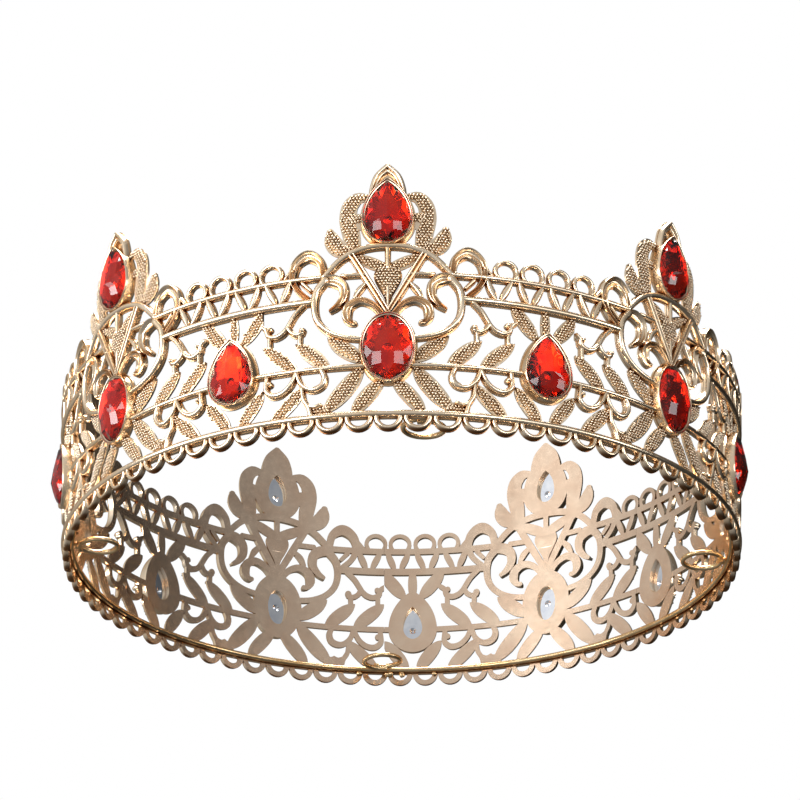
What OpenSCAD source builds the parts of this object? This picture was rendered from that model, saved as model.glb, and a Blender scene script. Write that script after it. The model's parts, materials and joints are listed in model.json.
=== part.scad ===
// Round filigree crown: seven castings butted into a ring, twenty-one faceted stones in
// raised settings, an inner hoop of wire and four small wire loops for hair pins.
// Millimetres. +Z is up, z = 0 is the plane the crown stands on, and the ring's axis is
// the Z axis. The front peak faces -Y.

/* [Band] */
// Radius of the band's smooth inner face, at the bottom rail
inner_r = 70; // [69.5:0.1:70.5]
// Degrees that the band leans outward as it rises
flare = 2; // [0:0.5:3]
// Thickness of the leaves
leaf_t = 1; // [0.8:0.1:1.3]
// Thickness of the scrolls, loops and struts
rod_t = 1.7; // [1.4:0.1:2]
// Width of the bottom rail's face
bottom_rail_w = 1.5; // [1.2:0.1:2]

/* [Stones] */
// Width of an oval stone
oval_w = 9.9; // [9:0.1:10]
// Length of an oval stone
oval_l = 13.7; // [13:0.1:14]
// Width of a pear stone
pear_w = 9.3; // [8.8:0.1:9.6]
// Length of a pear stone
pear_l = 13.2; // [12.6:0.1:13.4]
// Thickness of every stone, from its flat back to its top facet
stone_t = 3.2; // [2.4:0.1:3.6]
// Wall of the setting round a stone
bezel_t = 0.6; // [0.4:0.1:0.8]
// Height of the setting above the inner face
bezel_h = 2.4; // [2:0.1:2.8]

/* [Inner wire] */
// Thickness of the hoop's wire
hoop_wire = 1.2; // [1:0.1:1.8]
// Thickness of a pin loop's wire
loop_wire = 1.1; // [0.8:0.1:1.3]
// Outside diameter of a pin loop
loop_d = 9.2; // [8.5:0.1:10]
// Direction of the first pin loop, in degrees from the front peak
first_loop = 6; // [0:1:20]

/* [Hidden] */
repeats = 7;
turn = 360 / repeats;          // one peak and one band pear to each turn
pitch = 64.18;                 // length of one repeat along the relief face
scallops = 11;                 // half rings under each repeat
scallop_r = 2.95;
scallop_rod = 1.25;
scallop_drop = 0.6;            // their centres below the bottom rail
scallop_t = 1.4;
// Centre of the bottom rail, so that the scallops' front edges just touch the ground plane
bottom_rail_z = (scallop_r + scallop_drop) * cos(flare) + scallop_t * sin(flare);

// Heights of the rails above the bottom rail
mid_rail = 10.2;
second_rail = 24.7;
top_rail = 29.8;
mid_rail_w = 1.2;
second_rail_w = 1.6;
top_rail_w = 1.4;

// Centres of the three settings above the bottom rail
peak_z = 43.2;
oval_z = 13.8;
pear_z = 12.2;
half = pitch / 2;              // from a peak to the next band pear
seam_in = 25.49;               // where the casting on one side of a pear ends
seam_out = pitch - seam_in;    // and where the same cut falls on the other side

pocket_floor = 1;              // metal left behind a stone
stone_gap = 0.04;              // between a stone and its setting
drop_focus = [0, -0.9];        // where the facets of a drop meet
// Rings of a stone's facets: height as a share of the thickness, size as a share of the outline
facet_rings = [[0, 1], [0.25, 1], [0.7, 0.78], [1, 0.34]];
window_w = 4.4;                // the opening behind a stone that shows its foil
window_l = 8.5;
blunt = 1.2;                   // a leaf's side arcs are this much longer than the leaf
setting_foot = 1;              // how far a setting's base plate reaches past its stone
top_loop_r = 2.6;
top_loop_rod = 0.85;
loop_count = 4;
solder_d = 1.9;                // bead of solder between a pin loop and the hoop
solder_in = 0.4;               // its centre inside the hoop
loop_in = 0.5;                 // and the pin loop's outer side inside that centre

gold = [0.86, 0.68, 0.47];
wire_gold = [0.83, 0.63, 0.36];
red = [0.75, 0.05, 0.06];

// ---- curves ----

// One point of the smooth curve that passes through b and c, where t runs from 0 to 1.
function curve_point(a, b, c, d, t) =
    0.5 * (2 * b + (c - a) * t + (2 * a - 5 * b + 4 * c - d) * t * t
        + (3 * b - a - 3 * c + d) * t * t * t);

// The smooth curve through all the points p, with n steps from each point to the next.
function smooth(p, n = 2) =
    let (last = len(p) - 1)
    [for (i = [0 : last - 1], k = [0 : n - 1])
        curve_point(p[max(i - 1, 0)], p[i], p[i + 1], p[min(i + 2, last)], k / n), p[last]];

function direction(v) = v / norm(v);
function left_of(v) = [-v[1], v[0]];

// The sideways direction at point i of a curve.
function sideways(p, i) = left_of(direction(p[min(i + 1, len(p) - 1)] - p[max(i - 1, 0)]));

// Points of a drop with its tip up, centred on the middle of its length: half a circle
// below, and two sides that curve in to the tip.
function drop_outline(w, l, steps) =
    let (r = w / 2, low = r - l / 2, c = side_centre(w, l), tip = atan2(l - r, c), arc = steps / 4)
    concat([for (i = [0 : 2 * arc - 1]) [0, low] + r * ray(180 + 90 * i / arc)],
        [for (i = [0 : arc - 1]) [-c, low] + (c + r) * ray(tip * i / arc)],
        [for (i = [arc : -1 : 1]) [c, low] + (c + r) * ray(180 - tip * i / arc)]);

// How far past the middle the centre of a drop's side arc lies.
function side_centre(w, l) = (pow(l - w / 2, 2) - w * w / 4) / w;
function ray(a) = [cos(a), sin(a)];

function oval_outline(w, l, steps = 24) =
    [for (i = [0 : steps - 1]) [w / 2 * cos(360 * i / steps), l / 2 * sin(360 * i / steps)]];

// ---- flat strokes, drawn as the band is seen unrolled: x along it, y up it ----

// A scroll or strut along the points p. Its width runs smoothly through the list w.
module stroke(p, w) {
    path = smooth(p);
    wide = smooth([for (x = w) [x, 0]]);
    last = len(path) - 1;
    edge = [for (i = [0 : last]) sideways(path, i) * wide[i][0] / 2];
    polygon(concat([for (i = [0 : last]) path[i] + edge[i]],
        [for (i = [last : -1 : 0]) path[i] - edge[i]]));
}

// A leaf from a to b: two side arcs with rounded ends. A positive bow makes the left arc fuller.
module leaf(a, b, w, bow = 0) {
    along = b - a;
    translate((a + b) / 2)
        rotate([0, 0, atan2(along[1], along[0])])
            intersection() {
                side_arc(norm(along) * blunt, w / 2 + bow, 1);
                side_arc(norm(along) * blunt, w / 2 - bow, -1);
                circle(d = norm(along), $fn = 120);
            }
}

// The circle through both ends of a chord that rises by h to one side of it.
module side_arc(chord, h, side) {
    r = (chord * chord / 4 + h * h) / (2 * h);
    translate([0, side * (h - r)])
        circle(r = r, $fn = 120);
}

// A ball at the end of a curl.
module ball(at, d) {
    translate(at)
        circle(d = d, $fn = 24);
}

// The same drop with true arcs, grown outward by grow.
module drop(w, l, grow = 0) {
    low = w / 2 - l / 2;
    c = side_centre(w, l);
    big = c + w / 2 + grow;
    translate([0, low]) {
        intersection() {
            circle(r = w / 2 + grow, $fn = 64);
            translate([-w, -w])
                square([2 * w, w]);
        }
        intersection() {
            translate([-c, 0])
                circle(r = big, $fn = 160);
            translate([c, 0])
                circle(r = big, $fn = 160);
            translate([-w, 0])
                square([2 * w, 2 * l]);
        }
    }
}

// An oval grown outward by grow.
module oval(w, l, grow = 0) {
    polygon(oval_outline(w + 2 * grow, l + 2 * grow));
}

module both_sides() {
    children();
    mirror([1, 0])
        children();
}

// ---- placing ----

// Turns from the front peak to the point u along the band.
module turned(u) {
    rotate([0, 0, turn * u / pitch])
        children();
}

// Puts a flat shape on the band at u, standing t out from the inner face.
module on_band(u, t, foot = 0) {
    turned(u)
        translate([0, -inner_r, bottom_rail_z])
            rotate([90 + flare, 0, 0])
                translate([0, 0, foot])
                    linear_extrude(height = t - foot)
                        children();
}

// A motif drawn in unrolled coordinates from the given origin, cast as one flat piece at u.
module cast_at(u, t, origin = 0) {
    on_band(u, t)
        translate([origin - u, 0])
            children();
}

// Both the right-hand motif and its mirror image on the left of the peak.
module cast_pair(u, t) {
    cast_at(u, t)
        children();
    cast_at(-u, t)
        mirror([1, 0])
            children();
}

// ---- the middle of a repeat ----

// The pointed arch over the peak stone, and the smaller one inside it.
module finial() {
    both_sides() {
        stroke([[3.3, 46.9], [3, 48.9], [2.1, 51.4], [0, 53.8]], [1, 1.1, 1.15, 1.2]);
        stroke([[2.6, 47.6], [2.2, 49.6], [1.4, 51.2], [0, 52.4]], [1, 1, 1, 1]);
    }
}

// The arch that carries the peak, as far as the scrolls on both sides.
module arch() {
    stroke([[-12.6, 29.8], [-8.9, 33.5], [-4.7, 35.4], [0, 35.9], [4.7, 35.4], [8.9, 33.5], [12.6, 29.8]],
        [1.2, 1.4, 1.4, 1.4, 1.4, 1.4, 1.2]);
}

// The V under the arch, with its stem and the two open wings inside it.
module vee() {
    both_sides() {
        stroke([[0.1, 21.6], [3.7, 28], [7.3, 34.4]], [1.2, 1.6, 1.5]);
        stroke([[4, 28.2], [5.6, 26.6], [6.6, 24.8]], [0.6, 1.4, 0.7]);
    }
    stroke([[0, 35.7], [0, 31]], [1.1, 1.1]);
    stroke([[0, 27], [0, 22]], [0.9, 0.7]);
}

module vee_leaves() {
    both_sides()
        leaf([-0.9, 30.6], [6.7, 34.2], 2.4, -0.1);
    stroke([[0, 31.8], [0, 30.6], [0, 29], [0, 27], [0, 25.2], [0, 23.6]], [2, 5, 5.4, 3.7, 1.7, 0.7]);
}

// The pair of curls that spring from the top of the oval setting.
module crest_curls() {
    both_sides() {
        stroke([[1, 20.8], [2.9, 23.1], [5.4, 24.1], [7.6, 23], [8.1, 21], [7.4, 19.6], [6.5, 19.3]],
            [1.2, 1.2, 1.3, 1.7, 1.9, 1.1, 0.8]);
        ball([6.5, 19.4], 1.1);
    }
}

module oval_feet() {
    both_sides()
        leaf([0.7, 7.7], [7.3, 0.1], 3.1, 0.2);
}

// ---- the two sides of a repeat ----

// Acanthus leaf beside the peak stone, with a link to the setting and a side lobe.
module acanthus() {
    stroke([[4.3, 46.9], [6, 46.7], [7.5, 45], [7.9, 42.2], [7.3, 39], [6.9, 36.5], [6.9, 34]],
        [1.4, 2.5, 3.1, 3.4, 3.5, 3, 2.4]);
    stroke([[4.9, 42.2], [7, 42.4]], [1.8, 2.2]);
    stroke([[7.9, 35.4], [9.6, 35.9], [10.8, 37.2], [11.3, 38.8], [11.5, 39.8]], [2.6, 3.4, 3.5, 2.6, 1.4]);
}

// The leaves that spread from the foot and the waist of the oval setting.
module oval_leaves() {
    leaf([4.9, 10.3], [13, 1], 3.5, -0.3);
    leaf([4.4, 11.3], [12, 16.8], 3.2, -0.2);
}

// The big C that rises from the oval setting and rolls over into a hook under the arch.
module big_scroll() {
    stroke([[4.7, 15.9], [8.5, 16.5], [11.8, 18], [13.9, 20.4], [14.6, 23.4], [14.2, 26.6], [12.4, 29]],
        [1.1, 1.1, 1.2, 1.3, 1.3, 1.4, 1.6]);
    stroke([[12.4, 29], [10.6, 28.9], [8.9, 27.6], [8.7, 25.2], [9.8, 23.4], [11.3, 22.3]],
        [1.8, 2.4, 2.1, 1.7, 1.3, 0.7]);
}

// The tall open loop beside the peak.
module tall_loop() {
    stroke([[12.7, 30.2], [13.4, 33.2], [15.8, 34.8], [18.2, 33.3], [19, 30.4], [18, 27.6], [15.9, 25.5]],
        [1.2, 1.5, 2.4, 1.8, 1.4, 1.1, 1]);
    stroke([[19.2, 32], [20.6, 30.4]], [0.9, 0.7]);
    stroke([[17, 29], [15.4, 27.2]], [0.9, 0.7]);
}

// The scroll that hangs from the second rail and ends in two curls.
module moustache() {
    stroke([[16.8, 24.2], [18.5, 22.5], [19.7, 20.6], [20.4, 19.4]], [1, 1, 1, 1]);
    stroke([[20.3, 19.6], [21.3, 18.6], [22.9, 18.1], [24.2, 18.7], [24.6, 20], [25.6, 20.8]],
        [1, 1.1, 1.1, 1.1, 1, 0.9]);
    stroke([[20, 19.8], [19.4, 18.7], [18.2, 18], [17.1, 18.3]], [1, 1, 1, 1]);
    ball([23.9, 20], 1.3);
    ball([17.1, 18.8], 1.5);
    stroke([[24, 18.4], [24, 16]], [0.9, 0.9]);
    stroke([[17.6, 18], [17.7, 15.8]], [0.9, 0.9]);
}

module mid_rail_leaves() {
    leaf([18.3, 10.1], [25.4, 16.4], 3, 0.1);
    leaf([11.6, 10.1], [18.6, 16.2], 3, 0.1);
}

// The hooks that hang from the middle rail, and the tail that runs down to the bottom one.
module hooks() {
    stroke([[18.4, 9.8], [19.5, 7.5], [21.2, 6], [23.2, 5.7], [24.6, 6.8], [24.7, 8.2], [24.5, 9.8]],
        [0.9, 1, 1.1, 1.2, 1.1, 1, 0.9]);
    ball([24, 8.3], 1.4);
    stroke([[18.3, 9.8], [17.5, 7.6], [16, 6.2], [14.4, 6], [13, 6.8], [12.6, 8.4], [13.2, 9.8]],
        [0.9, 1, 1.1, 1.3, 1.3, 1.2, 0.9]);
    stroke([[17.2, 6.6], [16.9, 4.2], [15.9, 2.4], [15.4, 0.6]], [0.9, 0.9, 0.9, 1]);
    stroke([[15.9, 2.6], [14.6, 2.2], [13.6, 2.6]], [0.8, 0.8, 0.8]);
}

module low_leaves() {
    leaf([16.8, 7], [24, 0], 3, -0.1);
    leaf([11.3, 0.9], [15.6, 1.3], 2.6, 0.4);
}

// Slim pointed struts that zigzag between the top and the second rail.
module zigzag() {
    leaf([24.8, 29.8], [22.4, 25], 1.4);
    leaf([19.4, 29.8], [21.5, 25], 1.4);
}

// ---- round the band pear, drawn with x measured from the pear ----

module pear_leaves() {
    both_sides() {
        leaf([7.2, 24.8], [1.6, 17.8], 3, 0.1);
        leaf([6.6, 7.2], [1, 0], 3, -0.1);
        leaf([0.7, 29.8], [2.9, 25], 1.4);
        leaf([6, 29.8], [4, 25], 1.4);
    }
    leaf([0, 25.3], [0, 17.6], 2);
}

// ---- rings, rails and settings ----

// A half ring standing on two short legs.
module hoop_arch(r, rod, leg) {
    difference() {
        round_top(r, leg);
        round_top(r - rod, leg);
    }
}

module round_top(r, leg) {
    intersection() {
        circle(r = r, $fn = 48);
        translate([-r, 0])
            square([2 * r, r]);
    }
    translate([-r, -leg])
        square([2 * r, leg]);
}

// A rail from u0 to u1 at height z: a flat strip with a rounded ridge along its face.
module rail(z, w, u0, u1) {
    r = inner_r + z * tan(flare);
    translate([0, 0, bottom_rail_z + z])
        rotate_extrude(angle = turn * (u1 - u0) / pitch, start = 270 + turn * u0 / pitch, $fn = 240) {
            translate([r, -w / 2])
                square([leaf_t, w]);
            translate([r + leaf_t, 0])
                intersection() {
                    circle(d = w - 0.2, $fn = 32);
                    translate([-0.3, -w])
                        square([w, 2 * w]);
                }
        }
}

// The plate behind a stone and the wall round it. The shape takes a grow value.
module setting(u, z, is_oval) {
    for (step = [[setting_foot, leaf_t], [bezel_t, bezel_h]])
        on_band(u, step[1])
            translate([0, z])
                stone_shape(is_oval, step[0]);
}

module stone_shape(is_oval, grow) {
    if (is_oval)
        oval(oval_w, oval_l, grow);
    else
        drop(pear_w, pear_l, grow);
}

// What a setting takes out of the band: the stone's pocket, and the window behind it.
module setting_hollow(u, z, is_oval) {
    on_band(u, bezel_h + 1, pocket_floor)
        translate([0, z])
            stone_shape(is_oval, stone_gap);
    on_band(u, pocket_floor + 0.5, -1)
        translate([0, z - 0.3])
            if (is_oval)
                oval(window_w, window_l);
            else
                drop(window_w, window_l - 0.7);
}

module settings() {
    setting(0, peak_z, false);
    setting(0, oval_z, true);
    setting(half, pear_z, false);
}

module setting_hollows() {
    setting_hollow(0, peak_z, false);
    setting_hollow(0, oval_z, true);
    setting_hollow(half, pear_z, false);
}

module rails() {
    rail(0, bottom_rail_w, -seam_in, seam_out);
    rail(mid_rail, mid_rail_w, -seam_in, -4.6);
    rail(mid_rail, mid_rail_w, 4.6, half - 4.6);
    rail(mid_rail, mid_rail_w, half + 4.6, seam_out);
    rail(second_rail, second_rail_w, -seam_in, -14.6);
    rail(second_rail, second_rail_w, 14.6, seam_out);
    rail(top_rail, top_rail_w, -seam_in, -12.4);
    rail(top_rail, top_rail_w, 12.4, seam_out);
    rail(top_rail, top_rail_w - 0.2, -9, -4.4);
    rail(top_rail, top_rail_w - 0.2, 4.4, 9);
}

// The half rings that hang under the bottom rail, and those that stand on the top rail.
module rings() {
    spacing = pitch / scallops;
    for (i = [-4 : 7])
        on_band(i * spacing, scallop_t)
            translate([0, -scallop_drop])
                mirror([0, 1])
                    hoop_arch(scallop_r, scallop_rod, 0.5);
    for (u = [-23.6, 23.6, 29.2, pitch - 29.2, pitch - 23.6])
        on_band(u, rod_t - 0.3)
            translate([0, top_rail + 1.8])
                hoop_arch(top_loop_r, top_loop_rod, 1.4);
}

// The wedge of the ring that one casting fills.
module casting_wedge() {
    rotate_extrude(angle = turn, start = 270 - turn * seam_in / pitch, $fn = 240)
        translate([inner_r - 5, -5])
            square([15, 75]);
}

// One casting as it stands with its peak at the front.
module front_casting() {
    color(gold)
        intersection() {
            difference() {
                union() {
                    cast_at(0, rod_t) {
                        finial();
                        arch();
                        vee();
                        crest_curls();
                    }
                    cast_at(0, leaf_t) {
                        vee_leaves();
                        oval_feet();
                    }
                    cast_pair(8, leaf_t) {
                        acanthus();
                        oval_leaves();
                    }
                    cast_pair(11, rod_t)
                        big_scroll();
                    cast_pair(16.5, rod_t)
                        tall_loop();
                    cast_pair(20.5, rod_t) {
                        moustache();
                        zigzag();
                    }
                    cast_pair(18.5, leaf_t) {
                        mid_rail_leaves();
                        low_leaves();
                    }
                    cast_pair(18.5, rod_t)
                        hooks();
                    cast_at(half, leaf_t, half)
                        pear_leaves();
                    settings();
                    rails();
                    rings();
                }
                setting_hollows();
            }
            casting_wedge();
        }
}

// ---- stones and wire ----

// A flat-backed faceted stone: a thin girdle, then rings of facets that close in on the
// point focus up to a small table.
module faceted(outline, focus) {
    n = len(outline);
    count = len(facet_rings);
    points = [for (ring = facet_rings, p = outline)
        concat(focus + (p - focus) * ring[1], stone_t * ring[0])];
    sides = [for (k = [0 : count - 2], i = [0 : n - 1])
        [k * n + i, (k + 1) * n + i, (k + 1) * n + (i + 1) % n, k * n + (i + 1) % n]];
    back = [for (i = [0 : n - 1]) i];
    table = [for (i = [n - 1 : -1 : 0]) (count - 1) * n + i];
    polyhedron(points, concat(sides, [back, table]));
}

// Sets a stone in the pocket at u and z on repeat k.
module set_stone(k, u, z, outline, focus = [0, 0]) {
    color(red)
        rotate([0, 0, turn * (k - 1)])
            turned(u)
                translate([0, -inner_r, bottom_rail_z])
                    rotate([90 + flare, 0, 0])
                        translate([0, z, pocket_floor])
                            faceted(outline, focus);
}

module peak_stone(k) {
    set_stone(k, 0, peak_z, drop_outline(pear_w, pear_l, 12), drop_focus);
}

module oval_stone(k) {
    set_stone(k, 0, oval_z, oval_outline(oval_w, oval_l, 12));
}

module pear_stone(k) {
    set_stone(k, half, pear_z, drop_outline(pear_w, pear_l, 12), drop_focus);
}

module ring(r, wire) {
    rotate_extrude($fn = 240)
        translate([r, 0])
            circle(d = wire, $fn = 32);
}

module hoop_wire_ring() {
    translate([0, 0, bottom_rail_z])
        ring(inner_r - hoop_wire / 2, hoop_wire);
}

module inner_hoop() {
    color(wire_gold)
        hoop_wire_ring();
}

// A ring of wire lying level, with the bead of solder that joins it to the hoop.
module pin_loop(k) {
    color(wire_gold)
        difference() {
            rotate([0, 0, first_loop + 360 * (k - 1) / loop_count])
                translate([0, -inner_r + hoop_wire + solder_in, bottom_rail_z]) {
                    translate([0, (loop_d - loop_wire) / 2 + loop_in, 0])
                        ring((loop_d - loop_wire) / 2, loop_wire);
                    sphere(d = solder_d, $fn = 32);
                }
            hoop_wire_ring();
        }
}

module casting(k) {
    rotate([0, 0, turn * (k - 1)])
        front_casting();
}

casting(1);  // casting_1
casting(2);  // casting_2
casting(3);  // casting_3
casting(4);  // casting_4
casting(5);  // casting_5
casting(6);  // casting_6
casting(7);  // casting_7
peak_stone(1);  // peak_stone_1
peak_stone(2);  // peak_stone_2
peak_stone(3);  // peak_stone_3
peak_stone(4);  // peak_stone_4
peak_stone(5);  // peak_stone_5
peak_stone(6);  // peak_stone_6
peak_stone(7);  // peak_stone_7
oval_stone(1);  // oval_stone_1
oval_stone(2);  // oval_stone_2
oval_stone(3);  // oval_stone_3
oval_stone(4);  // oval_stone_4
oval_stone(5);  // oval_stone_5
oval_stone(6);  // oval_stone_6
oval_stone(7);  // oval_stone_7
pear_stone(1);  // pear_stone_1
pear_stone(2);  // pear_stone_2
pear_stone(3);  // pear_stone_3
pear_stone(4);  // pear_stone_4
pear_stone(5);  // pear_stone_5
pear_stone(6);  // pear_stone_6
pear_stone(7);  // pear_stone_7
inner_hoop();
pin_loop(1);  // pin_loop_1
pin_loop(2);  // pin_loop_2
pin_loop(3);  // pin_loop_3
pin_loop(4);  // pin_loop_4
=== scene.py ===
"""Round filigree crown: seven castings with their stones, an inner wire hoop and four wire loops.

The castings are drawn unrolled, in millimetres: u runs along the band from the middle of a peak,
v runs up the wall from the bottom rail, and h runs out from the smooth back.
"""
import json
import math

import bmesh
import bpy
import numpy as np
from mathutils import Matrix, Vector, geometry, noise


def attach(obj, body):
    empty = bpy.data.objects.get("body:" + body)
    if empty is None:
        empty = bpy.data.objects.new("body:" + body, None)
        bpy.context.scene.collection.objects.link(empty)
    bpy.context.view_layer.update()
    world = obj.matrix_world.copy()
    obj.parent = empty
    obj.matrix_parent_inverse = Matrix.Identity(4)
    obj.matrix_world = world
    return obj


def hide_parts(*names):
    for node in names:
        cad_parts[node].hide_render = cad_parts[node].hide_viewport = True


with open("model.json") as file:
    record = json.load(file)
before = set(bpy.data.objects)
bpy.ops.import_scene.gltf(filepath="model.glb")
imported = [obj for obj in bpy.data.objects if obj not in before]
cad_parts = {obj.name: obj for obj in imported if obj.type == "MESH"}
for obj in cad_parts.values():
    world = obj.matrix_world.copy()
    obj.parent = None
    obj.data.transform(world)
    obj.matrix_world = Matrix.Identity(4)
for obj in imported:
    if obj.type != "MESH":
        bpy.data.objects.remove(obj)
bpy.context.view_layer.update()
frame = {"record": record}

MM = 0.001
REPEATS = 7
PITCH = 64.18           # one repeat along the relief face
HALF = PITCH / 2        # from a peak to the next band pear
INNER_R = 70.0
FLARE = math.radians(2)
RAIL_Z = frame["record"]["mounts"][0]["pos_m"][2] / MM   # the head opening is stated at this rail
SEAM = 25.49            # how far left of its peak a casting starts
SEAM_GAP = 0.03         # how much shorter a casting is at each seam
PAST_SEAM = 2           # how far a rail is drawn past a seam before it is cut there

PLATE_T = 0.45          # the flat plate that the relief stands on
FOOT = 0.1              # where the relief starts, inside the plate
MARGIN = 0.12           # how far the plate shows beside the relief
THIN_MARGIN = 0.06      # and beside leaves, struts and scallops
STEEPEST = 1.5          # a cross-section's depth is at most this times its half width
CAP_TURNS = (25, 50, 75)    # degrees round an end, where its cross-sections stand
ROD_DEPTH = 0.8         # depth of the shaped part of a rod's cross-section
BALL_T = 1.8            # top of a ball
BALL_SIDES = 16

LEAF_T = 1.0            # full height of a leaf
FLEUR_T = 1.25          # and of the fleur under the arch
LEAF_SWELL = 0.28       # how much lower a leaf is near its rim
LEAF_STEPS = 14
LEAF_BLUNT = 2.4        # powers that round the outline of a leaf
LEAF_TAPER = 0.75
LEAF_TIP = 0.15         # width of its ends
BEAD_R = 0.3
BEAD_PITCH = 0.66
BEAD_ROW = BEAD_PITCH * 0.87
BEAD_SHIFT = 0.07       # how far a bead may lie from its regular place
BEAD_SIZES = (0.88, 1.08)
BEAD_CLEAR = 0.9        # share of its radius that a bead keeps from the rim
BEAD_RISE = 0.34        # from the beads' feet to the leaf's full height
BEAD_TALL = 0.06        # how much taller than its radius a bead is
BED_OVER = 0.05         # how far the leaf's face lies over the beads' feet

PEAK_V = 43.2           # heights of the stones' middles
OVAL_V = 13.8
PEAR_V = 12.2
OVAL_SIZE = (9.9, 13.7)
DROP_SIZE = (9.3, 13.2)
POCKET = 1.0            # metal behind a stone
STONE_T = 3.2

WELD = 1e-5             # points of a casting closer than this, in millimetres, are one
WIRE_WELD = 1e-7        # and points of wire and solder, in metres
CREASE = math.radians(38)
BEAD_CREASE = math.radians(75)
WIRE_CREASE = math.radians(50)

GOLD, LEAF_BED_PAINTED_SHADE, GRAIN, BACK = range(4)      # the castings' materials; the leaf bed's is painted dark, as the shade between its beads

rng = np.random.default_rng(7)


# ---- cross-sections: place across from -1 to 1, and share of the depth below the top ----

def both(half_profile):
    """The whole cross-section from its left half, which ends on the middle."""
    return half_profile + [(-s, drop) for s, drop in half_profile[-2::-1]]


ROUND = [(math.sin(a), 1 - math.cos(a)) for a in np.linspace(-math.pi / 2, math.pi / 2, 9)]
HOLLOW = both([(-1, 0.9), (-0.95, 0.35), (-0.84, 0.05), (-0.74, 0), (-0.62, 0.15),
               (-0.46, 0.62), (-0.25, 0.92), (0, 1.02)])
GROOVE = both([(-1, 1), (-0.93, 0.5), (-0.76, 0.1), (-0.56, 0), (-0.34, 0.15), (-0.14, 0.6), (0, 0.72)])
LEAF = both([(-1, 1), (-0.98, 0.75), (-0.92, 0.52), (-0.84, 0.55), (-0.7, 0.5), (-0.4, 0.18), (0, 0)])


# ---- faces over rings of points ----

def ring_faces(rings, sides, closed=False):
    """Faces between neighbouring rings of points. A closed run joins its last ring to its first."""
    faces = []
    for i in range(rings if closed else rings - 1):
        here, there = i * sides, (i + 1) % rings * sides
        for j in range(sides):
            k = (j + 1) % sides
            faces.append([here + j, here + k, there + k, there + j])
    return faces


def tube_faces(rings, sides):
    """Faces between neighbouring rings of points, and one over each end."""
    last = (rings - 1) * sides
    ends = [list(range(sides))[::-1], list(range(last, last + sides))]
    return ring_faces(rings, sides) + ends


# ---- flat pattern ----

class Pattern:
    """Vertices and faces of the relief, and the polygons that make up the plate behind it."""

    def __init__(self):
        self.points = []
        self.faces = []
        self.kinds = []
        self.plate = []
        self.holes = []

    def add(self, points, faces, kind=GOLD):
        start = len(self.points)
        self.points += [tuple(p) for p in points]
        self.faces += [[start + i for i in face] for face in faces]
        self.kinds += [kind] * len(faces)


def catmull(a, b, c, d, t):
    """The point at the share t of the way from b to c, on a smooth curve through all four."""
    square = 2 * a - 5 * b + 4 * c - d
    cube = 3 * b - a - 3 * c + d
    return 0.5 * (2 * b + (c - a) * t + square * t * t + cube * t ** 3)


def curve(points, widths, step=0.5):
    """Rows of u, v and width about step apart, on a smooth curve through the points."""
    knots = np.column_stack([points, widths]).astype(float)
    knots = np.vstack([knots[0], knots, knots[-1]])
    rows = []
    for a, b, c, d in zip(knots, knots[1:], knots[2:], knots[3:]):
        steps = max(2, round(math.dist(b[:2], c[:2]) / step))
        rows += [catmull(a, b, c, d, i / steps) for i in range(steps)]
    return np.array(rows + [knots[-1]])


def leaf(a, b, width, bow=0.0):
    """Rows of u, v and width of a blunt leaf from a to b. A positive bow pushes it to its left."""
    a, b = np.array(a, float), np.array(b, float)
    left = np.array((a[1] - b[1], b[0] - a[0])) / math.dist(a, b)
    rows = []
    for i in range(LEAF_STEPS + 1):
        x = -math.cos(math.pi * i / LEAF_STEPS)
        spot = (a + b) / 2 + (b - a) / 2 * x + left * bow * (1 - x * x)
        wide = width * (1 - abs(x) ** LEAF_BLUNT) ** LEAF_TAPER
        rows.append((*spot, max(wide, LEAF_TIP)))
    return np.array(rows)


def both_sides(path, about=0.0):
    """The path, and its mirror image about u = about."""
    return path, path * (-1, 1, 1) + (2 * about, 0, 0)


def stations(path):
    """Centre, forward direction, half width and fullness of each cross-section, with round ends."""
    ahead = np.gradient(path[:, :2], axis=0)
    ahead /= np.linalg.norm(ahead, axis=1)[:, None]
    rows = [(p[:2], a, p[2] / 2, 1.0) for p, a in zip(path, ahead)]
    for end, sign in ((0, -1), (-1, 1)):
        spot, half = path[end, :2], path[end, 2] / 2
        cap = []
        for a in np.radians(CAP_TURNS):
            centre = spot + sign * ahead[end] * half * math.sin(a)
            cap.append((centre, ahead[end], half * math.cos(a), math.cos(a)))
        rows = cap[::-1] + rows if end == 0 else rows + cap
    return rows


def add_sweep(pattern, path, profile, top, depth, margin=MARGIN, kind=GOLD):
    """Runs a cross-section along a path, and puts the same outline in the plate."""
    points = []
    edges = []
    for centre, ahead, half, fullness in stations(path):
        left = np.array((-ahead[1], ahead[0]))
        full_depth = min(STEEPEST * half / fullness, depth)
        crest = top - full_depth * (1 - fullness)
        section = [(s * half, crest - full_depth * fullness * drop) for s, drop in profile]
        section += [(half, FOOT), (-half, FOOT)]
        points += [(*(centre + left * across), h) for across, h in section]
        reach = left * (half + margin * fullness)
        edges.append((centre - reach, centre + reach, ahead))
    pattern.add(points, tube_faces(len(edges), len(profile) + 2), kind)
    add_strip(pattern, edges)


def add_strip(pattern, edges):
    """Plate polygons between neighbouring cross-sections."""
    for (right_a, left_a, ahead), (right_b, left_b, _) in zip(edges, edges[1:]):
        if np.dot(left_b - left_a, ahead) < 0:
            left_b = left_a
        if np.dot(right_b - right_a, ahead) < 0:
            right_b = right_a
        corners = [tuple(right_a), tuple(right_b), tuple(left_b), tuple(left_a)]
        pattern.plate.append(list(dict.fromkeys(corners)))


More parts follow.
